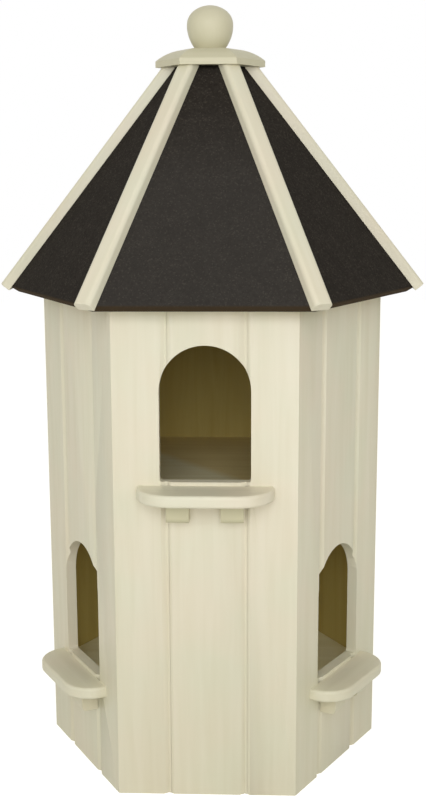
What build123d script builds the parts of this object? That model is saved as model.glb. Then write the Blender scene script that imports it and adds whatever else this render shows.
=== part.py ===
from build123d import *

import os
from math import asin, atan, atan2, cos, degrees, radians, sin, tan

# A six-sided timber dovecote of two storeys, with an arched pop hole high in the front wall, one
# low in each wall beside it, plain walls behind and a steep felt-covered roof. The origin is the
# centre of the base, +Z is up, the front wall faces -Y and every piece is drawn on the front
# side, then turned about Z to its own side. Lengths are in millimetres and angles in degrees.

# Walls
WALL_WIDTH = 245.0            # outer face of one wall, corner to corner
WALL_THICKNESS = 15.0

# Pop holes
LOWER_SILL_HEIGHT = 147.0     # base to the sill of the lower holes
STOREY_HEIGHT = 300.0         # lower sill to upper sill
HOLE_WIDTH = 121.0
HOLE_HEIGHT = 182.6           # sill to the crown of the arch
HOLE_CORNER_RADIUS = 4.0      # at the two ends of the sill

# Nest floors
FLOOR_THICKNESS = 12.0
SILL_LIP = 30.0               # sill above the floor
FLOOR_CLEARANCE = 0.3         # round the edge of each floor

# Landing ledges, each on two blocks
UPPER_LEDGE_WIDTH = 183.0
UPPER_LEDGE_PROJECTION = 54.0
LOWER_LEDGE_WIDTH = 166.0
LOWER_LEDGE_PROJECTION = 47.0
LEDGE_END = 4.0               # straight part of each end, beside the wall
LEDGE_THICKNESS = 16.5
LEDGE_EDGE_RADIUS = 4.0
LEDGE_DROP = 4.8              # sill above the top of the ledge
BLOCK_WIDTH = 30.0
BLOCK_HEIGHT = 29.0
BLOCK_PROJECTION = 24.0
BLOCK_TOE_RADIUS = 8.0
BLOCK_SPAN = 102.0            # over both blocks of a ledge

# Roof
EAVES_ABOVE_HOLES = 56.5      # crown of the upper holes to the outer lower edge of the felt
EAVES_OVERHANG = 44.2         # wall face to that edge, level
ROOF_PITCH = 55.75
ROOF_BOARD_THICKNESS = 12.0
FELT_THICKNESS = 3.0
HIP_BATTEN_WIDTH = 26.0
HIP_BATTEN_RISE = 9.8         # outer face above the line where two felts meet
HIP_BATTEN_TAIL = 3.0         # past the eaves, along the hip
HIP_BATTEN_ROUNDING = 5.0     # along both outer edges

# Cap and finial
CAP_SEAT_RADIUS = 55.0        # corner radius of the felt where the cap sits on it
CAP_OVERHANG = 9.7            # past the hip battens at each corner
CAP_RIM_HEIGHT = 8.4
CAP_SHOULDER_RISE = 16.0      # rim to the level top
CAP_LEVEL_MARGIN = 6.4        # level top past the base of the finial
FINIAL_BASE_RADIUS = 20.4
FINIAL_RADIUS = 32.4
FINIAL_SHOULDER_RADIUS = 24.0
FINIAL_CROWN_LIFT = 2.7       # crown above the top of the shoulder's own circle
FINIAL_HEIGHT = 59.3

# How far each side and corner is turned from the front
SIDES = {
    "front": 0,
    "front_right": 60,
    "back_right": 120,
    "back": 180,
    "back_left": 240,
    "front_left": 300,
}
CORNERS = {
    "front_right": 30,
    "right": 90,
    "back_right": 150,
    "back_left": 210,
    "left": 270,
    "front_left": 330,
}

# Sizes that follow from the ones above
APOTHEM_RATIO = cos(radians(30))
WALL_APOTHEM = WALL_WIDTH * APOTHEM_RATIO
INNER_APOTHEM = WALL_APOTHEM - WALL_THICKNESS
UPPER_SILL_HEIGHT = LOWER_SILL_HEIGHT + STOREY_HEIGHT
UPPER_HOLE = (UPPER_SILL_HEIGHT, UPPER_LEDGE_WIDTH, UPPER_LEDGE_PROJECTION)
LOWER_HOLE = (LOWER_SILL_HEIGHT, LOWER_LEDGE_WIDTH, LOWER_LEDGE_PROJECTION)
HOLES = {
    "front": UPPER_HOLE,
    "front_right": LOWER_HOLE,
    "front_left": LOWER_HOLE,
}
EAVES_HEIGHT = UPPER_SILL_HEIGHT + HOLE_HEIGHT + EAVES_ABOVE_HOLES
ARCH_RADIUS = HOLE_WIDTH / 2

PITCH_SIN = sin(radians(ROOF_PITCH))
PITCH_COS = cos(radians(ROOF_PITCH))
ROOF_THICKNESS = FELT_THICKNESS + ROOF_BOARD_THICKNESS
EAVES_APOTHEM = WALL_APOTHEM + EAVES_OVERHANG
EAVES_RADIUS = EAVES_APOTHEM / APOTHEM_RATIO
HIP_PITCH = degrees(atan(tan(radians(ROOF_PITCH)) * APOTHEM_RATIO))
HIP_SIN = sin(radians(HIP_PITCH))
HIP_COS = cos(radians(HIP_PITCH))
FELT_FALL = degrees(asin(PITCH_SIN / 2))   # each felt below square to its hip

CAP_HEIGHT = EAVES_HEIGHT + (EAVES_RADIUS - CAP_SEAT_RADIUS) * HIP_SIN / HIP_COS
CAP_RADIUS = CAP_SEAT_RADIUS + HIP_BATTEN_RISE / HIP_SIN + CAP_OVERHANG
CAP_APOTHEM = CAP_RADIUS * APOTHEM_RATIO
FINIAL_GIRTH_HEIGHT = FINIAL_HEIGHT - FINIAL_CROWN_LIFT - FINIAL_SHOULDER_RADIUS
FINIAL_SEAT_HEIGHT = CAP_HEIGHT + CAP_RIM_HEIGHT + CAP_SHOULDER_RISE
OVER_ALL = 2 * EAVES_RADIUS                # longer than any piece cut by it

# The front's own section: across is the distance out from the axis, up is the height
FRONT_SECTION = Plane((0, 0, 0), x_dir=(0, -1, 0), z_dir=(-1, 0, 0))


def turned(piece, angle):
    return Rot(0, 0, angle) * piece


def front_sector():
    """Wedge between the two corner planes beside the front, from the axis outwards."""
    half_width = OVER_ALL * tan(radians(30))
    outline = Polyline((0, 0), (-half_width, -OVER_ALL), (half_width, -OVER_ALL), close=True)
    return extrude(make_face(outline), 2 * OVER_ALL + CAP_HEIGHT)


def front_slab(outline):
    """Closed outline in the front's section, carried across and mitred at both corners."""
    return extrude(FRONT_SECTION * make_face(outline), OVER_ALL, both=True) & front_sector()


def hexagon(apothem, thickness, bottom):
    """Level six-sided board with one edge to the front."""
    plan = RegularPolygon(apothem / APOTHEM_RATIO, 6)
    return Pos(0, 0, bottom) * extrude(plan, thickness)


def roof_point(rise, depth):
    """Place in the front roof's section, up the slope and in from the face of the felt."""
    out = EAVES_APOTHEM - rise * PITCH_COS - depth * PITCH_SIN
    height = EAVES_HEIGHT + rise * PITCH_SIN - depth * PITCH_COS
    return out, height


def roof_rise(height, depth):
    """Way up the slope to a level, at a depth in from the face of the felt."""
    return (height - EAVES_HEIGHT + depth * PITCH_COS) / PITCH_SIN


def underside_height(out):
    """Underside of the roof boards at a distance out from the axis."""
    lowest_out, lowest_height = roof_point(0, ROOF_THICKNESS)
    return lowest_height + (lowest_out - out) * PITCH_SIN / PITCH_COS


def pop_hole(sill_height):
    """Cutter for an arched hole through the front wall."""
    spring_height = sill_height + HOLE_HEIGHT - ARCH_RADIUS
    outline = Polyline(
        (-ARCH_RADIUS, spring_height),
        (-ARCH_RADIUS, sill_height),
        (ARCH_RADIUS, sill_height),
        (ARCH_RADIUS, spring_height),
    )
    arch = RadiusArc((ARCH_RADIUS, spring_height), (-ARCH_RADIUS, spring_height), -ARCH_RADIUS)
    face = make_face(outline + arch)
    face = fillet(face.vertices().group_by(Axis.Y)[0], HOLE_CORNER_RADIUS)
    return extrude(Plane.XZ * face, OVER_ALL)


def wall():
    """Wall mitred to its neighbours, its top bevelled to lie under the roof boards."""
    return front_slab(Polyline(
        (WALL_APOTHEM, 0),
        (INNER_APOTHEM, 0),
        (INNER_APOTHEM, underside_height(INNER_APOTHEM)),
        (WALL_APOTHEM, underside_height(WALL_APOTHEM)),
        close=True,
    ))


def ledge(sill_height, width, projection):
    """Landing ledge below a hole, flat against the wall and rounded at its outer corners."""
    plan = Pos(0, -WALL_APOTHEM - projection / 2) * Rectangle(width, projection)
    plan = fillet(plan.vertices().group_by(Axis.Y)[0], projection - LEDGE_END)
    top = sill_height - LEDGE_DROP
    board = Pos(0, 0, top - LEDGE_THICKNESS) * extrude(plan, LEDGE_THICKNESS)
    against_wall = board.faces().sort_by(Axis.Y)[-1]
    outer_edges = board.edges() - against_wall.edges()
    return fillet(outer_edges.filter_by(Axis.Z, reverse=True), LEDGE_EDGE_RADIUS)


def ledge_blocks(sill_height):
    """The two blocks under a ledge, against the wall, with a rounded toe."""
    top = sill_height - LEDGE_DROP - LEDGE_THICKNESS
    centre = (BLOCK_SPAN - BLOCK_WIDTH) / 2
    block = Pos(0, -WALL_APOTHEM - BLOCK_PROJECTION / 2, top - BLOCK_HEIGHT / 2) * Box(
        BLOCK_WIDTH, BLOCK_PROJECTION, BLOCK_HEIGHT
    )
    toe = block.edges().filter_by(Axis.X).group_by(Axis.Z)[0].sort_by(Axis.Y)[0]
    block = fillet(toe, BLOCK_TOE_RADIUS)
    return Compound([Pos(side * centre, 0, 0) * block for side in (-1, 1)])


def nest_floor(sill_height):
    """Floor board that fits inside the six walls, its top a lip below the sill."""
    bottom = sill_height - SILL_LIP - FLOOR_THICKNESS
    return hexagon(INNER_APOTHEM - FLOOR_CLEARANCE, FLOOR_THICKNESS, bottom)


def roof_board():
    """Sloping board on the wall tops, mitred at the hips and level under the cap."""
    return front_slab(Polyline(
        roof_point(FELT_THICKNESS, FELT_THICKNESS),
        roof_point(FELT_THICKNESS, ROOF_THICKNESS),
        roof_point(roof_rise(CAP_HEIGHT, ROOF_THICKNESS), ROOF_THICKNESS),
        roof_point(roof_rise(CAP_HEIGHT, FELT_THICKNESS), FELT_THICKNESS),
        close=True,
    ))


def roof_felt():
    """Felt on a roof board, turned down over the board's lower end."""
    return front_slab(Polyline(
        roof_point(0, 0),
        roof_point(0, ROOF_THICKNESS),
        roof_point(FELT_THICKNESS, ROOF_THICKNESS),
        roof_point(FELT_THICKNESS, FELT_THICKNESS),
        roof_point(roof_rise(CAP_HEIGHT, FELT_THICKNESS), FELT_THICKNESS),
        roof_point(roof_rise(CAP_HEIGHT, 0), 0),
        close=True,
    ))


def hip_batten():
    """Rounded batten over a hip, backed to lie on both felts, square at the eaves."""
    half_width = HIP_BATTEN_WIDTH / 2
    side_foot = -half_width * tan(radians(FELT_FALL))
    section = make_face(Polyline(
        (-half_width, HIP_BATTEN_RISE),
        (half_width, HIP_BATTEN_RISE),
        (half_width, side_foot),
        (0, 0),
        (-half_width, side_foot),
        close=True,
    ))
    section = fillet(section.vertices().group_by(Axis.Y)[-1], HIP_BATTEN_ROUNDING)
    foot_out = EAVES_RADIUS + HIP_BATTEN_TAIL * HIP_COS
    foot_height = EAVES_HEIGHT - HIP_BATTEN_TAIL * HIP_SIN
    foot = Plane((0, -foot_out, foot_height), x_dir=(-1, 0, 0), z_dir=(0, HIP_COS, HIP_SIN))
    batten = extrude(foot * section, OVER_ALL)
    below_cap = extrude(Rectangle(4 * OVER_ALL, 4 * OVER_ALL), CAP_HEIGHT)
    return batten & below_cap


def roof_cap():
    """Six-sided cap on the roof's top: upright rim, rounded shoulder, level under the finial."""
    level_edge = (FINIAL_BASE_RADIUS + CAP_LEVEL_MARGIN, FINIAL_SEAT_HEIGHT)
    rim_edge = (CAP_APOTHEM, CAP_HEIGHT + CAP_RIM_HEIGHT)
    core = Polyline(
        level_edge,
        (0, FINIAL_SEAT_HEIGHT),
        (0, CAP_HEIGHT),
        (CAP_APOTHEM, CAP_HEIGHT),
        rim_edge,
    )
    shoulder = TangentArc(level_edge, rim_edge, tangent=(1, 0))
    sector = front_slab(core + shoulder)
    return Part() + [turned(sector, angle) for angle in SIDES.values()]


def finial():
    """Turned knob: a swelling neck up to the girth, a round shoulder and a flatter crown."""
    girth = (FINIAL_RADIUS, FINIAL_GIRTH_HEIGHT)
    neck = TangentArc(girth, (FINIAL_BASE_RADIUS, 0), tangent=(0, -1))
    shoulder_inset = FINIAL_RADIUS - FINIAL_SHOULDER_RADIUS
    centre_drop = (shoulder_inset**2 - FINIAL_CROWN_LIFT**2) / (2 * FINIAL_CROWN_LIFT)
    sweep = degrees(atan2(centre_drop, shoulder_inset))
    shoulder = JernArc(girth, (0, 1), FINIAL_SHOULDER_RADIUS, sweep)
    crown = TangentArc(shoulder @ 1, (0, FINIAL_HEIGHT), tangent=shoulder % 1)
    core = Polyline((0, FINIAL_HEIGHT), (0, 0), (FINIAL_BASE_RADIUS, 0))
    knob = revolve(Plane.XZ * make_face(core + neck + shoulder + crown), Axis.Z)
    return Pos(0, 0, FINIAL_SEAT_HEIGHT) * knob


pieces = {
    "upper_floor": nest_floor(UPPER_SILL_HEIGHT),
    "lower_floor": nest_floor(LOWER_SILL_HEIGHT),
    "roof_cap": roof_cap(),
    "finial": finial(),
}

for side, angle in SIDES.items():
    pieces["wall_" + side] = turned(wall(), angle)
    pieces["roof_board_" + side] = turned(roof_board(), angle)
    pieces["roof_felt_" + side] = turned(roof_felt(), angle)

for side, (sill, ledge_width, ledge_projection) in HOLES.items():
    pieces["wall_" + side] = turned(wall() - pop_hole(sill), SIDES[side])
    pieces["ledge_" + side] = turned(ledge(sill, ledge_width, ledge_projection), SIDES[side])
    pieces["ledge_blocks_" + side] = turned(ledge_blocks(sill), SIDES[side])

for corner, angle in CORNERS.items():
    pieces["hip_batten_" + corner] = turned(hip_batten(), angle)

os.makedirs("parts", exist_ok=True)
for name, piece in pieces.items():
    export_step(piece, "parts/" + name + ".step")
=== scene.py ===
import math

import bmesh
import bpy
from mathutils import Matrix, Vector


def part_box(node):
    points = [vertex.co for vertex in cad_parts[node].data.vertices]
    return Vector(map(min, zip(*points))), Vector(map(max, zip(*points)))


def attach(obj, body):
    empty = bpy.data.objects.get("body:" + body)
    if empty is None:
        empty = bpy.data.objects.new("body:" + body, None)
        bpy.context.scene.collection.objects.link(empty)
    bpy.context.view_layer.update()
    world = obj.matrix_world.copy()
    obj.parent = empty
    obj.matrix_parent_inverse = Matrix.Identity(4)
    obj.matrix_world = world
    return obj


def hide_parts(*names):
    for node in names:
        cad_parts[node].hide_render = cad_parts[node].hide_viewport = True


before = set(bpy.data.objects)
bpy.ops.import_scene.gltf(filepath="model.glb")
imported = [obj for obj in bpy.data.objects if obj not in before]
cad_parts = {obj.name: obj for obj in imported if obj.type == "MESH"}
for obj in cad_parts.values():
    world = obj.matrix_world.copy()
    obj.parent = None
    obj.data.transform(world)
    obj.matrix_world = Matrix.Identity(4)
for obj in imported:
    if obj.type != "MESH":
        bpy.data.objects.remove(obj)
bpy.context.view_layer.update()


# ---------------------------------------------------------------------------------------------
# Walls. Six panels of upright softwood matchboard, mitred at the corners, each three boards
# wide. Two boards meet in a wide shallow V, with the hairline between them to the right of its
# middle. The outside is brushed with cream paint, darker towards the foot, and the inside is bare.
# ---------------------------------------------------------------------------------------------

MM = 0.001
SIDE_TURNS = {
    "front": 0,
    "front_right": 60,
    "back_right": 120,
    "back": 180,
    "back_left": 240,
    "front_left": 300,
}
BOARD_WIDTH = 105 * MM
JOINT_WIDTH = 14 * MM
JOINT_DEPTH = 4.2 * MM
JOINT_GAP = 0.35 * MM
GAP_DEPTH = 5.5 * MM
GAP_OFFSET = 3.4 * MM
JOINTS_PER_WALL = 2
WALL_ARRIS = 0.7 * MM
PAINT_SHIFT = 3.1
INSIDE_SHIFT = 2.3


def put(tree, kind, values=(), **settings):
    """Adds a node to a tree. A value that is another node's socket is linked to its input."""
    made = tree.nodes.new(kind)
    for name, setting in settings.items():
        setattr(made, name, setting)
    for name, value in dict(values).items():
        if isinstance(value, bpy.types.NodeSocket):
            tree.links.new(value, made.inputs[name])
        else:
            made.inputs[name].default_value = value
    return made


def math_node(tree, operation, first, second=0.0):
    """One step of arithmetic in a tree, as the socket of its answer."""
    return put(tree, "ShaderNodeMath", {0: first, 1: second}, operation=operation).outputs[0]


def mixed(tree, share, first, second):
    """A colour between two others, as a socket."""
    mix = put(tree, "ShaderNodeMix", {"Factor": share, 6: first, 7: second}, data_type="RGBA")
    return mix.outputs[2]


def spread(tree, value, low, high, to_low=0.0, to_high=1.0):
    """A socket's values from low to high, drawn out over another range and held at its ends."""
    return put(tree, "ShaderNodeMapRange", {
        "Value": value, "From Min": low, "From Max": high, "To Min": to_low, "To Max": to_high,
    }).outputs["Result"]


def colour(red, green, blue):
    """A paint-chart colour of 0 to 255 a channel, as the linear colour that a shader takes."""
    def linear(level):
        level = level / 255
        return level / 12.92 if level <= 0.04045 else ((level + 0.055) / 1.055) ** 2.4
    return (linear(red), linear(green), linear(blue), 1.0)


def own_place(tree, turn, tilt, stretch, shift):
    """Object coordinates in a piece's own frame, and the same drawn out along its grain."""
    place = put(tree, "ShaderNodeTexCoord").outputs["Object"]
    turned = put(tree, "ShaderNodeMapping", {
        "Vector": place, "Location": (0, 0, shift), "Rotation": (tilt, 0, turn),
    }, vector_type="TEXTURE").outputs["Vector"]
    grain = put(tree, "ShaderNodeMapping", {"Vector": turned, "Scale": stretch}).outputs["Vector"]
    return turned, grain


def new_material(name):
    """Material with nothing in its tree but a shader, wired to the output."""
    material = bpy.data.materials.new(name)
    material.use_nodes = True
    tree = material.node_tree
    tree.nodes.clear()
    shader = put(tree, "ShaderNodeBsdfPrincipled")
    put(tree, "ShaderNodeOutputMaterial", {"Surface": shader.outputs["BSDF"]})
    return material, tree, shader


def object_place(tree):
    """Where each place on the object is, as its X, Y and Z sockets."""
    return put(tree, "ShaderNodeSeparateXYZ", {
        "Vector": put(tree, "ShaderNodeTexCoord").outputs["Object"],
    }).outputs


def raise_relief(tree, shader, height, strength, depth):
    """Gives a finish its fine relief, of a strength and a depth."""
    bump = put(tree, "ShaderNodeBump", {"Height": height, "Strength": strength, "Distance": depth})
    tree.links.new(bump.outputs["Normal"], shader.inputs["Normal"])


PAINTED_UPRIGHT = (1, 1, 0.06)
PAINTED_ACROSS = (0.06, 1, 1)
BRUSH_SCALE = 420
FIGURE_SCALE = 70
CLOUD_SCALE = 9
PAINT_RELIEF = 0.25 * MM
FOOT_DARKENING_HEIGHT = 420 * MM
DARKENING_AT_FOOT = 0.32


def cream_paint(name, turn=0.0, tilt=0.0, stretch=PAINTED_UPRIGHT, shift=0.0, painted_shade=0.0):
    """Cream eggshell brushed along the grain, darker near the ground and by its painted shade."""
    material, tree, shader = new_material(name)
    place, grain = own_place(tree, turn, tilt, stretch, shift)
    brush = put(tree, "ShaderNodeTexNoise", {
        "Vector": grain, "Scale": BRUSH_SCALE, "Detail": 4, "Roughness": 0.6,
    }).outputs["Fac"]
    figure = put(tree, "ShaderNodeTexNoise", {
        "Vector": grain, "Scale": FIGURE_SCALE, "Detail": 3, "Distortion": 0.4,
    }).outputs["Fac"]
    cloud = put(tree, "ShaderNodeTexNoise", {
        "Vector": place, "Scale": CLOUD_SCALE, "Detail": 2,
    }).outputs["Fac"]
    full, thin = colour(232, 226, 207), colour(221, 214, 190)
    warm, cool = colour(233, 222, 204), colour(224, 225, 205)
    # The darker tone, used towards the foot and as painted shade.
    darker_cream = colour(200, 195, 165)
    body = mixed(tree, spread(tree, figure, 0.35, 0.75), full, thin)
    tint = mixed(tree, spread(tree, cloud, 0.35, 0.65), warm, cool)
    fresh = mixed(tree, 0.4, body, tint)
    # Darker towards the foot, and painted shade over the whole piece by the share it is given.
    from_ground = spread(tree, object_place(tree)["Z"], 0.0, FOOT_DARKENING_HEIGHT, DARKENING_AT_FOOT, 0.0)
    darkening = math_node(tree, "MAXIMUM", from_ground, painted_shade)
    darkened = mixed(tree, darkening, fresh, darker_cream)
    tree.links.new(darkened, shader.inputs["Base Color"])
    tree.links.new(spread(tree, brush, 0.3, 0.7, 0.42, 0.56), shader.inputs["Roughness"])
    relief = math_node(tree, "ADD", math_node(tree, "MULTIPLY", figure, 1.6), brush)
    raise_relief(tree, shader, relief, 0.35, PAINT_RELIEF)
    return material


BARE_UPRIGHT = (1, 1, 0.05)
RING_SCALE = 55
FIBRE_SCALE = 700
FIBRE_RELIEF = 0.3 * MM


def bare_timber(name, turn, stretch, shift):
    """Unpainted softwood: pale early wood, darker rings drawn out along the board."""
    material, tree, shader = new_material(name)
    _, grain = own_place(tree, turn, 0, stretch, shift)
    rings = put(tree, "ShaderNodeTexNoise", {
        "Vector": grain, "Scale": RING_SCALE, "Detail": 5, "Roughness": 0.55, "Distortion": 0.8,
    }).outputs["Fac"]
    fibre = put(tree, "ShaderNodeTexNoise", {
        "Vector": grain, "Scale": FIBRE_SCALE, "Detail": 3,
    }).outputs["Fac"]
    early, late = colour(206, 187, 112), colour(197, 175, 98)
    body = mixed(tree, spread(tree, rings, 0.38, 0.66), early, late)
    wear_and_painted_light = mixed(tree, spread(tree, fibre, 0.4, 0.75, 0.0, 0.35), body, late)
    tree.links.new(wear_and_painted_light, shader.inputs["Base Color"])
    shader.inputs["Roughness"].default_value = 0.78
    raise_relief(tree, shader, math_node(tree, "ADD", rings, fibre), 0.4, FIBRE_RELIEF)
    return material


def geometry_tree(name, sizes):
    """Geometry tree with one named number input for each size, and its two end nodes."""
    tree = bpy.data.node_groups.new(name, "GeometryNodeTree")
    tree.interface.new_socket("Geometry", in_out="OUTPUT", socket_type="NodeSocketGeometry")
    tree.interface.new_socket("Geometry", in_out="INPUT", socket_type="NodeSocketGeometry")
    for size in sizes:
        tree.interface.new_socket(size, in_out="INPUT", socket_type="NodeSocketFloat")
    return tree, put(tree, "NodeGroupInput").outputs, put(tree, "NodeGroupOutput")


def vector(tree, x=0.0, y=0.0, z=0.0):
    """Three numbers or sockets as one vector socket."""
    return put(tree, "ShaderNodeCombineXYZ", {"X": x, "Y": y, "Z": z}).outputs["Vector"]


def grown(name, tree, start, sizes):
    """Plain mesh object that a geometry tree makes from a starting mesh at the given sizes."""
    piece = bpy.data.objects.new(name, start)
    bpy.context.scene.collection.objects.link(piece)
    modifier = piece.modifiers.new("grow", "NODES")
    modifier.node_group = tree
    sockets = {s.name: s.identifier for s in tree.interface.items_tree if s.in_out == "INPUT"}
    for size, value in sizes.items():
        modifier[sockets[size]] = float(value)
    evaluated = piece.evaluated_get(bpy.context.evaluated_depsgraph_get())
    mesh = bpy.data.meshes.new_from_object(evaluated)
    piece.modifiers.clear()
    piece.data = mesh
    mesh.name = name
    return piece


SAME_POINT = 0.01 * MM
SAME_FACE = math.radians(0.2)


def solid_copy(node):
    """A CAD node's mesh as one closed shell, with its flat faces whole."""
    shell = bmesh.new()
    shell.from_mesh(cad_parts[node].data)
    bmesh.ops.remove_doubles(shell, verts=shell.verts, dist=SAME_POINT)
    bmesh.ops.dissolve_limit(
        shell, angle_limit=SAME_FACE, verts=shell.verts, edges=shell.edges
    )
    mesh = bpy.data.meshes.new(node + "_shell")
    shell.to_mesh(mesh)
    shell.free()
    return mesh


ARRIS_ANGLE = math.radians(35)
ARRIS_STEPS = 2


def ease_arrises(piece, width):
    """Takes the sharpness off a piece's arrises, as sanding and paint do."""
    piece.data.shade_smooth()
    piece.data.set_sharp_from_angle(angle=ARRIS_ANGLE)
    bevel = piece.modifiers.new("eased arrises", "BEVEL")
    bevel.width = width
    bevel.segments = ARRIS_STEPS
    bevel.limit_method = "ANGLE"
    bevel.angle_limit = ARRIS_ANGLE
    bevel.harden_normals = True


CUTTER_LENGTH_IN_WALLS = 2.5
FACES_INWARDS = -0.9


def matchboard_tree():
    """Cuts V joints and the gaps in them into a wall panel, and leaves its inside bare."""
    tree, sizes, end = geometry_tree("matchboard", (
        "Board Width", "Joint Width", "Joint Depth", "Joint Gap", "Gap Depth", "Gap Offset",
        "Joints", "Face Out", "Wall Height", "Turn",
    ))
    cutter_height = math_node(tree, "MULTIPLY", sizes["Wall Height"], CUTTER_LENGTH_IN_WALLS)
    bar = put(tree, "GeometryNodeMeshCube", {"Size": (math.sqrt(0.5), math.sqrt(0.5), 1)})
    on_edge = put(tree, "GeometryNodeTransform", {
        "Geometry": bar.outputs["Mesh"], "Rotation": (0, 0, math.radians(45)),
    })
    groove = put(tree, "GeometryNodeTransform", {
        "Geometry": on_edge.outputs["Geometry"],
        "Scale": vector(
            tree, sizes["Joint Width"], math_node(tree, "MULTIPLY", sizes["Joint Depth"], 2),
            cutter_height,
        ),
    })
    blade = put(tree, "GeometryNodeMeshCube", {"Size": vector(
        tree, sizes["Joint Gap"], math_node(tree, "MULTIPLY", sizes["Gap Depth"], 2),
        cutter_height,
    )})
    slit = put(tree, "GeometryNodeTransform", {
        "Geometry": blade.outputs["Mesh"], "Translation": vector(tree, sizes["Gap Offset"]),
    })
    boards_between = math_node(tree, "SUBTRACT", sizes["Joints"], 1)
    boards_left = math_node(tree, "MULTIPLY", boards_between, -0.5)
    first = math_node(tree, "MULTIPLY", boards_left, sizes["Board Width"])
    joints = put(tree, "GeometryNodeMeshLine", {
        "Count": sizes["Joints"],
        "Start Location": vector(tree, first, math_node(tree, "MULTIPLY", sizes["Face Out"], -1)),
        "Offset": vector(tree, sizes["Board Width"]),
    })
    turn = vector(tree, 0.0, 0.0, sizes["Turn"])
    cutters = []
    for shape in (groove.outputs["Geometry"], slit.outputs["Geometry"]):
        row = put(tree, "GeometryNodeInstanceOnPoints", {
            "Points": joints.outputs["Mesh"], "Instance": shape,
        })
        real = put(tree, "GeometryNodeRealizeInstances", {"Geometry": row.outputs["Instances"]})
        cutters.append(put(tree, "GeometryNodeTransform", {
            "Geometry": real.outputs["Geometry"], "Rotation": turn,
        }))
    boards = put(tree, "GeometryNodeMeshBoolean", {"Mesh 1": sizes["Geometry"]},
                 operation="DIFFERENCE", solver="EXACT")
    for cutter in cutters:
        tree.links.new(cutter.outputs["Geometry"], boards.inputs["Mesh 2"])
    outwards = vector(
        tree, math_node(tree, "SINE", sizes["Turn"]),
        math_node(tree, "MULTIPLY", math_node(tree, "COSINE", sizes["Turn"]), -1),
    )
    facing = put(tree, "ShaderNodeVectorMath", {
        0: put(tree, "GeometryNodeInputNormal").outputs["Normal"], 1: outwards,
    }, operation="DOT_PRODUCT").outputs["Value"]
    inside = put(tree, "FunctionNodeCompare", {
        "A": facing, "B": FACES_INWARDS,
    }, operation="LESS_THAN")
    real = put(tree, "GeometryNodeRealizeInstances", {"Geometry": boards.outputs["Mesh"]})
    painted = put(tree, "GeometryNodeSetMaterial", {"Geometry": real.outputs["Geometry"]})
    bare = put(tree, "GeometryNodeSetMaterial", {
        "Geometry": painted.outputs["Geometry"], "Selection": inside.outputs["Result"],
    })
    tree.links.new(bare.outputs["Geometry"], end.inputs["Geometry"])
    return tree, painted, bare


matchboard, wall_paint, wall_back = matchboard_tree()
wall_low, wall_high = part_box("wall_front")

for number, (side, degrees) in enumerate(SIDE_TURNS.items()):
    turn = math.radians(degrees)
    wall_paint.inputs["Material"].default_value = cream_paint(
        "wall_paint_" + side, turn, shift=number * PAINT_SHIFT
    )
    wall_back.inputs["Material"].default_value = bare_timber(
        "wall_inside_" + side, turn, BARE_UPRIGHT, number * INSIDE_SHIFT
    )
    wall = grown("boarded_wall_" + side, matchboard, solid_copy("wall_" + side), {
        "Board Width": BOARD_WIDTH,
        "Joint Width": JOINT_WIDTH,
        "Joint Depth": JOINT_DEPTH,
        "Joint Gap": JOINT_GAP,
        "Gap Depth": GAP_DEPTH,
        "Gap Offset": GAP_OFFSET,
        "Joints": JOINTS_PER_WALL,
        "Face Out": -wall_low.y,
        "Wall Height": wall_high.z,
        "Turn": turn,
    })
    ease_arrises(wall, WALL_ARRIS)
    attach(wall, "root")
    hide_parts("wall_" + side)


# ---------------------------------------------------------------------------------------------
# Nest floors. Two six-sided boards let in between the walls, a lip below each row of sills,
# with their grain from side to side. The upper one has painted light where it falls in through
# the hole, mostly to the left, and painted shade, yellower, beyond. The lower one is pale all
# over.
# ---------------------------------------------------------------------------------------------

NEST_GRAIN = (0.06, 1, 1)
NEST_RELIEF = 0.2 * MM
# Softness of the edge of the painted light, and where it lies on each floor.
LIGHT_EDGE = 18 * MM
UPPER_REACH = -29 * MM
UPPER_LEAN = 1.29
LOWER_REACH = 300 * MM


def nest_board(name, shift, reach, lean):
    """Softwood floor with painted light before a line at a reach and a lean, painted shade beyond.
    """
    material, tree, shader = new_material(name)
    _, grain = own_place(tree, 0, 0, NEST_GRAIN, shift)
    rings = put(tree, "ShaderNodeTexNoise", {
        "Vector": grain, "Scale": RING_SCALE, "Detail": 3, "Distortion": 0.6,
    }).outputs["Fac"]
    figure = spread(tree, rings, 0.38, 0.66)
    pale = mixed(tree, figure, colour(246, 240, 203), colour(238, 230, 188))
    shaded_yellow = mixed(tree, figure, colour(236, 218, 158), colour(228, 208, 146))
    # Painted light in front of the line, where light falls in through the hole; painted shade
    # beyond it.
    spot = object_place(tree)
    line = math_node(tree, "ADD", spot["Y"], math_node(tree, "MULTIPLY", spot["X"], lean))
    wear_and_painted_light = spread(tree, line, reach - LIGHT_EDGE, reach + LIGHT_EDGE, 1.0, 0.0)
    tree.links.new(mixed(tree, wear_and_painted_light, shaded_yellow, pale), shader.inputs["Base Color"])
    shader.inputs["Roughness"].default_value = 0.8
    raise_relief(tree, shader, rings, 0.3, NEST_RELIEF)
    return material


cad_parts["upper_floor"].data.materials[0] = nest_board(
    "upper_nest_board", shift=5, reach=UPPER_REACH, lean=UPPER_LEAN
)
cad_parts["lower_floor"].data.materials[0] = nest_board(
    "lower_nest_board", shift=6, reach=LOWER_REACH, lean=0
)


# ---------------------------------------------------------------------------------------------
# Landing ledges and the blocks that carry them. Each ledge is one board, rounded at its outer
# corners and along its edges, fixed to two short blocks on the wall, and painted with the walls.
# ---------------------------------------------------------------------------------------------

HOLED_SIDES = ("front", "front_right", "front_left")
# Painted shade: the blocks sit in the shadow of their ledge, the front ones most, so their paint
# is darkened.
BLOCK_SHADE = {"front": 1.0, "front_right": 0.5, "front_left": 0.5}
LEDGE_SHIFT = 20
BLOCK_SHIFT = 30

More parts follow.
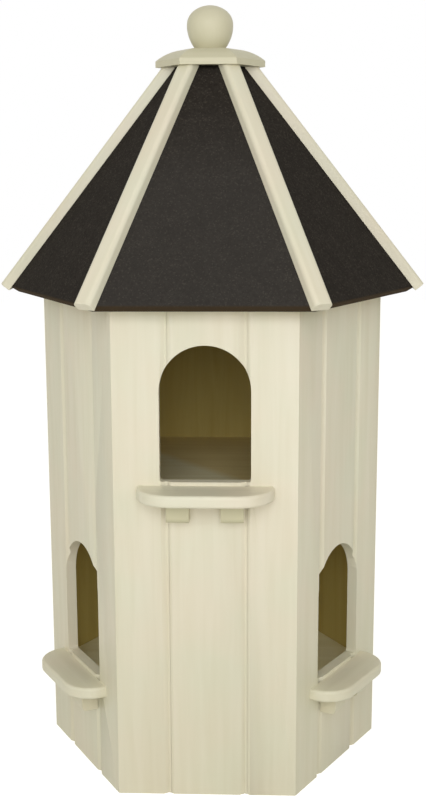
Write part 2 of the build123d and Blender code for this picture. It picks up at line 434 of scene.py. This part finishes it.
for number, side in enumerate(HOLED_SIDES):
    turn = math.radians(SIDE_TURNS[side])
    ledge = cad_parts["ledge_" + side]
    ledge.data.materials[0] = cream_paint(
        "ledge_paint_" + side, turn, stretch=PAINTED_ACROSS, shift=LEDGE_SHIFT + number
    )
    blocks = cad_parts["ledge_blocks_" + side]
    blocks.data.materials[0] = cream_paint(
        "block_paint_" + side, turn, shift=BLOCK_SHIFT + number, painted_shade=BLOCK_SHADE[side]
    )


# ---------------------------------------------------------------------------------------------
# Roof boards. Six bare softwood boards, mitred at the hips and at the top, that carry the felt.
# Their grain runs level, and they are seen only from below the eaves.
# ---------------------------------------------------------------------------------------------

BARE_ACROSS = (0.05, 1, 1)
ROOF_BOARD_SHIFT = 40

for number, (side, degrees) in enumerate(SIDE_TURNS.items()):
    roof_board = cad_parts["roof_board_" + side]
    roof_board.data.materials[0] = bare_timber(
        "roof_board_" + side, math.radians(degrees), BARE_ACROSS, ROOF_BOARD_SHIFT + number
    )


# ---------------------------------------------------------------------------------------------
# Roof felt. One sheet of mineral-faced felt on each slope, folded down over the end of the
# roof board. The granules are charcoal, some darker and a few pale. A painted sheen lightens the
# front slope towards the eaves, and painted reflection of the walls browns the turned-down lip.
# ---------------------------------------------------------------------------------------------

ROOF_PITCH = math.radians(55.75)
HALF_SIDE = math.radians(30)
FELT_LIP = 15 * MM
FELT_FOLD = 3 * MM
FOLD_STEPS = 8
FELT_SHEET = 2.2 * MM
FELT_RIPPLE = 0.7 * MM
RIPPLE_SCALE = 16
FELT_ROWS = 96
FELT_COLUMNS = 64
CLOSER_AT_FOLD = 1.8
FELT_SEED = 7
FELT_SHIFT = 1.7

GRANULE_SCALE = 620
GRIT_SCALE = 240
MOTTLE_SCALE = 42
FELT_RELIEF = 0.5 * MM
# Painted sheen: the front slope is lightened from the eaves up to these heights, as it catches the
# light from in front.
FRONT_SHEEN = 0.25
SHEEN_FROM, SHEEN_TO = 840 * MM, 950 * MM
# Painted reflection: the felt's lip below the fold is tinted brown for warm light thrown back from
# the cream walls.
LIP_REFLECTION_SHARE = 0.75
REFLECTION_BELOW_FOLD = 2 * MM
REFLECTION_BLEND = 3 * MM


def mineral_felt(name, turn, shift, sheen):
    """Charcoal granules in bitumen, painted sheen near the eaves, painted reflection on the lip.
    """
    material, tree, shader = new_material(name)
    place, _ = own_place(tree, turn, 0, (1, 1, 1), shift)
    granule = put(tree, "ShaderNodeTexVoronoi", {"Vector": place, "Scale": GRANULE_SCALE})
    grit = put(tree, "ShaderNodeTexNoise", {
        "Vector": place, "Scale": GRIT_SCALE, "Detail": 4, "Roughness": 0.7,
    }).outputs["Fac"]
    mottle = put(tree, "ShaderNodeTexNoise", {
        "Vector": place, "Scale": MOTTLE_SCALE, "Detail": 3,
    }).outputs["Fac"]
    dark, grey, pale = colour(39, 35, 32), colour(54, 50, 46), colour(80, 74, 68)
    sheen_grey, reflected_brown = colour(80, 78, 77), colour(70, 56, 38)
    body = mixed(tree, spread(tree, grit, 0.35, 0.68), dark, grey)
    broad = mixed(tree, spread(tree, mottle, 0.42, 0.66, 0.0, 0.5), body, dark)
    light = put(tree, "ShaderNodeSeparateColor", {"Color": granule.outputs["Color"]}).outputs[0]
    speck = mixed(tree, spread(tree, light, 0.86, 0.96, 0.0, 0.4), broad, pale)
    height = object_place(tree)["Z"]
    # Painted sheen: a lighter grey laid over the lower part of the front slope.
    sheen_share = spread(tree, height, SHEEN_FROM, SHEEN_TO, sheen, 0.0)
    with_sheen = mixed(tree, sheen_share, speck, sheen_grey)
    # Painted reflection of the cream walls on the turned-down lip.
    lip_reflection = spread(tree, height, lip_line, lip_line + REFLECTION_BLEND, LIP_REFLECTION_SHARE, 0.0)
    tree.links.new(mixed(tree, lip_reflection, with_sheen, reflected_brown), shader.inputs["Base Color"])
    shader.inputs["Roughness"].default_value = 0.9
    shader.inputs["Specular IOR Level"].default_value = 0.06
    relief = math_node(tree, "SUBTRACT", grit, granule.outputs["Distance"])
    raise_relief(tree, shader, relief, 0.6, FELT_RELIEF)
    return material


def felt_tree():
    """Lays a sheet along a section line, as wide as the mitre lets it be at each place."""
    tree, sizes, end = geometry_tree("felt", (
        "Fold Radius", "Rows", "Columns", "Pitch", "Ripple", "Seed", "Turn",
    ))
    line = put(tree, "GeometryNodeMeshToCurve", {"Mesh": sizes["Geometry"]})
    folded = put(tree, "GeometryNodeFilletCurve", {
        "Curve": line.outputs["Curve"], "Radius": sizes["Fold Radius"], "Count": FOLD_STEPS,
        "Limit Radius": True,
    }, mode="POLY")
    sheet = put(tree, "GeometryNodeMeshGrid", {
        "Size X": 2.0, "Size Y": 1.0, "Vertices X": sizes["Columns"], "Vertices Y": sizes["Rows"],
    })
    spot = put(tree, "ShaderNodeSeparateXYZ", {
        "Vector": put(tree, "GeometryNodeInputPosition").outputs["Position"],
    }).outputs
    along = math_node(tree, "POWER", math_node(tree, "ADD", spot["Y"], 0.5), CLOSER_AT_FOLD)
    on_line = put(tree, "GeometryNodeSampleCurve", {
        "Curves": folded.outputs["Curve"], "Factor": along,
    }, mode="FACTOR", use_all_curves=True).outputs["Position"]
    line_spot = put(tree, "ShaderNodeSeparateXYZ", {"Vector": on_line}).outputs
    half_width = math_node(tree, "MULTIPLY", line_spot["Y"], -math.tan(HALF_SIDE))
    across = math_node(tree, "MULTIPLY", spot["X"], half_width)
    flat = vector(tree, across, line_spot["Y"], line_spot["Z"])
    seeded = put(tree, "ShaderNodeVectorMath", {
        0: flat, 1: vector(tree, sizes["Seed"], 0.0, sizes["Seed"]),
    }, operation="ADD").outputs["Vector"]
    swell = put(tree, "ShaderNodeTexNoise", {
        "Vector": seeded, "Scale": RIPPLE_SCALE, "Detail": 2,
    }).outputs["Fac"]
    sink = math_node(tree, "MULTIPLY", math_node(tree, "MULTIPLY", swell, -1), sizes["Ripple"])
    forwards = math_node(tree, "MULTIPLY", math_node(tree, "SINE", sizes["Pitch"]), -1)
    upwards = math_node(tree, "COSINE", sizes["Pitch"])
    laid = put(tree, "GeometryNodeSetPosition", {
        "Geometry": sheet.outputs["Mesh"],
        "Position": flat,
        "Offset": vector(
            tree, 0.0,
            math_node(tree, "MULTIPLY", sink, forwards),
            math_node(tree, "MULTIPLY", sink, upwards),
        ),
    })
    placed = put(tree, "GeometryNodeTransform", {
        "Geometry": laid.outputs["Geometry"], "Rotation": vector(tree, 0.0, 0.0, sizes["Turn"]),
    })
    real = put(tree, "GeometryNodeRealizeInstances", {"Geometry": placed.outputs["Geometry"]})
    faced = put(tree, "GeometryNodeSetMaterial", {"Geometry": real.outputs["Geometry"]})
    tree.links.new(faced.outputs["Geometry"], end.inputs["Geometry"])
    return tree, faced


felt_low, felt_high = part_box("roof_felt_front")
eaves_out = -felt_low.y
eaves_height = felt_low.z + FELT_LIP * math.cos(ROOF_PITCH)
lip_line = eaves_height - REFLECTION_BELOW_FOLD
top_out = eaves_out - (felt_high.z - eaves_height) / math.tan(ROOF_PITCH)
felt_line = bpy.data.meshes.new("felt_section")
felt_line.from_pydata([
    (0, -eaves_out + FELT_LIP * math.sin(ROOF_PITCH), felt_low.z),
    (0, -eaves_out, eaves_height),
    (0, -top_out, felt_high.z),
], [(0, 1), (1, 2)], [])
felt_sheet, felt_face = felt_tree()

for number, (side, degrees) in enumerate(SIDE_TURNS.items()):
    turn = math.radians(degrees)
    # Only the front slope takes the painted sheen.
    sheen = FRONT_SHEEN if side == "front" else 0.0
    felt_face.inputs["Material"].default_value = mineral_felt(
        "felt_" + side, turn, number * FELT_SHIFT, sheen
    )
    felt = grown("laid_felt_" + side, felt_sheet, felt_line.copy(), {
        "Fold Radius": FELT_FOLD,
        "Rows": FELT_ROWS,
        "Columns": FELT_COLUMNS,
        "Pitch": ROOF_PITCH,
        "Ripple": FELT_RIPPLE,
        "Seed": FELT_SEED + number,
        "Turn": turn,
    })
    felt.data.shade_smooth()
    sheet = felt.modifiers.new("sheet thickness", "SOLIDIFY")
    sheet.thickness = FELT_SHEET
    sheet.offset = -1
    sheet.use_even_offset = True
    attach(felt, "root")
    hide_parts("roof_felt_" + side)


# ---------------------------------------------------------------------------------------------
# Hip battens. Six strips with well rounded edges, hollowed beneath to sit over the joint between
# two felts, nailed down the hips and painted cream. Each is square at the eaves and meets the cap.
# ---------------------------------------------------------------------------------------------

CORNER_TURNS = {
    "front_right": 30,
    "right": 90,
    "back_right": 150,
    "back_left": 210,
    "left": 270,
    "front_left": 330,
}
BATTEN_RISE = 9.8 * MM
BATTEN_ROUNDING = 7 * MM
BATTEN_ARRIS = 0.8 * MM
BATTEN_TAIL = 3 * MM
ROUNDING_STEPS = 8
BATTEN_SHIFT = 50

hip_pitch = math.atan(math.tan(ROOF_PITCH) * math.cos(HALF_SIDE))
hip_run, hip_climb = math.cos(hip_pitch), math.sin(hip_pitch)
felt_fall = math.atan(
    math.sin(HALF_SIDE) * math.tan(ROOF_PITCH)
    / (hip_climb * math.cos(HALF_SIDE) * math.tan(ROOF_PITCH) + hip_run)
)
batten_low, batten_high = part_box("hip_batten_right")
batten_half = batten_high.y
side_foot = -batten_half * math.tan(felt_fall)
foot_out = batten_high.x - BATTEN_RISE * hip_climb
foot_height = batten_low.z - side_foot * hip_run


def rounded_section():
    """Outline across a batten: a face with two rounded edges, on a hollow underside."""
    outline = [(batten_half, side_foot)]
    for side, start in ((1, 0), (-1, 90)):
        for step in range(ROUNDING_STEPS + 1):
            angle = math.radians(start + 90 * step / ROUNDING_STEPS)
            outline.append((
                side * (batten_half - BATTEN_ROUNDING) + BATTEN_ROUNDING * math.cos(angle),
                BATTEN_RISE - BATTEN_ROUNDING + BATTEN_ROUNDING * math.sin(angle),
            ))
    return outline + [(-batten_half, side_foot), (0, 0)]


def batten_strip(name, turn):
    """A section run up a hip to the level of the cap, stopped solid where it leaves the felt."""
    hollow = rounded_section()
    solid = hollow[:-1] + [(0, side_foot)]
    strip = bmesh.new()
    rings = []
    for section, distance in ((solid, 0.0), (hollow, BATTEN_TAIL), (hollow, None)):
        ring = []
        for across, up in section:
            out = foot_out + up * hip_climb
            height = foot_height + up * hip_run
            to_cap = (batten_high.z - height) / hip_climb
            climbed = to_cap if distance is None else distance
            ring.append(strip.verts.new((
                across, climbed * hip_run - out, height + climbed * hip_climb
            )))
        rings.append(ring)
    strip.faces.new(rings[0])
    strip.faces.new(rings[-1])
    for lower, upper in zip(rings, rings[1:]):
        for corner in range(len(lower)):
            strip.faces.new((lower[corner - 1], lower[corner], upper[corner], upper[corner - 1]))
    bmesh.ops.recalc_face_normals(strip, faces=strip.faces)
    bmesh.ops.rotate(strip, verts=strip.verts, matrix=Matrix.Rotation(turn, 3, "Z"))
    mesh = bpy.data.meshes.new(name)
    strip.to_mesh(mesh)
    strip.free()
    return mesh


for number, (corner, degrees) in enumerate(CORNER_TURNS.items()):
    turn = math.radians(degrees)
    node = "hip_batten_" + corner
    batten = bpy.data.objects.new("painted_" + node, batten_strip(node, turn))
    bpy.context.scene.collection.objects.link(batten)
    batten.data.materials.append(cream_paint(
        "batten_paint_" + corner, turn, hip_pitch - math.radians(90), shift=BATTEN_SHIFT + number
    ))
    ease_arrises(batten, BATTEN_ARRIS)
    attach(batten, "root")
    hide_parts(node)


# ---------------------------------------------------------------------------------------------
# Cap and finial. A six-sided board with a rounded shoulder closes the top of the roof, and a
# turned ball knob is screwed down through its middle. Both are painted with the walls.
# ---------------------------------------------------------------------------------------------

# Painted shade: the cap and finial catch less light at the top of the roof, so their paint is
# darkened.
CAP_SHADE = 0.65
FINIAL_SHADE = 0.6
FINIAL_GRAIN = (1, 1, 0.25)

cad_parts["roof_cap"].data.materials[0] = cream_paint(
    "cap_paint", stretch=PAINTED_ACROSS, shift=60, painted_shade=CAP_SHADE
)
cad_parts["finial"].data.materials[0] = cream_paint(
    "finial_paint", stretch=FINIAL_GRAIN, shift=61, painted_shade=FINIAL_SHADE
)


# ---------------------------------------------------------------------------------------------
# Stage. A pale floor under a white surround that gives an even fill, with one low softbox in
# front and a weak one on each side.
# ---------------------------------------------------------------------------------------------

FLOOR_RADIUS = 6.0
FLOOR_SIDES = 96
FLOOR_COLOUR = (0.74, 0.74, 0.73, 1)
FLOOR_GLOW = 0.7
FILL_COLOUR = (1, 0.98, 0.83, 1)
FILL_STRENGTH = 0.49
LAMP_COLOUR = (0.985, 0.985, 1)
LAMP_AIM = (0, 0, 0.5)

floor_shell = bmesh.new()
bmesh.ops.create_circle(floor_shell, cap_ends=True, radius=FLOOR_RADIUS, segments=FLOOR_SIDES)
floor_mesh = bpy.data.meshes.new("floor")
floor_shell.to_mesh(floor_mesh)
floor_shell.free()
floor = bpy.data.objects.new("floor", floor_mesh)
bpy.context.scene.collection.objects.link(floor)

floor_material = bpy.data.materials.new("pale_floor")
floor_material.use_nodes = True
tree = floor_material.node_tree
tree.nodes.clear()
rays = put(tree, "ShaderNodeLightPath").outputs
seen = math_node(tree, "MAXIMUM", rays["Is Camera Ray"], rays["Is Glossy Ray"])
lit = put(tree, "ShaderNodeBsdfDiffuse", {"Color": FLOOR_COLOUR})
glow = put(tree, "ShaderNodeEmission", {
    "Strength": math_node(tree, "MULTIPLY", seen, FLOOR_GLOW),
})
sum_shader = put(tree, "ShaderNodeAddShader", {0: lit.outputs[0], 1: glow.outputs[0]})
put(tree, "ShaderNodeOutputMaterial", {"Surface": sum_shader.outputs[0]})
floor_mesh.materials.append(floor_material)

world = bpy.data.worlds.new("surround")
bpy.context.scene.world = world
world.use_nodes = True
tree = world.node_tree
tree.nodes.clear()
rays = put(tree, "ShaderNodeLightPath").outputs
seen = math_node(tree, "MAXIMUM", rays["Is Camera Ray"], rays["Is Glossy Ray"])
seen = math_node(tree, "MAXIMUM", seen, rays["Is Transmission Ray"])
fill = put(tree, "ShaderNodeBackground", {"Color": FILL_COLOUR, "Strength": FILL_STRENGTH})
white = put(tree, "ShaderNodeBackground", {"Color": (1, 1, 1, 1), "Strength": 1.0})
sky = put(tree, "ShaderNodeMixShader", {0: seen, 1: fill.outputs[0], 2: white.outputs[0]})
put(tree, "ShaderNodeOutputWorld", {"Surface": sky.outputs[0]})


def soft_light(name, place, size, watts):
    """Square softbox at a place, turned to face the middle of the object."""
    lamp = bpy.data.lights.new(name, "AREA")
    lamp.shape = "SQUARE"
    lamp.size = size
    lamp.energy = watts
    lamp.color = LAMP_COLOUR
    box = bpy.data.objects.new(name, lamp)
    bpy.context.scene.collection.objects.link(box)
    box.location = place
    box.rotation_euler = (Vector(LAMP_AIM) - Vector(place)).to_track_quat("-Z", "Y").to_euler()


soft_light("front_softbox", (0, -2.6, 1.38), size=1.5, watts=29)
soft_light("right_softbox", (1.9, -2.0, 1.25), size=1.4, watts=4)
soft_light("left_softbox", (-1.9, -2.0, 1.25), size=1.4, watts=5)


# ---------------------------------------------------------------------------------------------
# Camera. It stands a little above the eaves' height and to the right of the front, tipped down.
# ---------------------------------------------------------------------------------------------

CAMERA_PLACE = (0.0771, -1.8109, 0.8676)
CAMERA_TURN = math.radians(2.38)
CAMERA_TIP = math.radians(90 - 10.95)
CAMERA_ROLL = math.radians(-0.25)
CAMERA_LENS = 56.25

camera_data = bpy.data.cameras.new("camera")
camera_data.lens = CAMERA_LENS
camera = bpy.data.objects.new("camera", camera_data)
bpy.context.scene.collection.objects.link(camera)
camera.matrix_world = (
    Matrix.Translation(CAMERA_PLACE)
    @ Matrix.Rotation(CAMERA_TURN, 4, "Z")
    @ Matrix.Rotation(CAMERA_TIP, 4, "X")
    @ Matrix.Rotation(CAMERA_ROLL, 4, "Z")
)
bpy.context.scene.camera = camera
bpy.context.scene.view_settings.view_transform = "Standard"
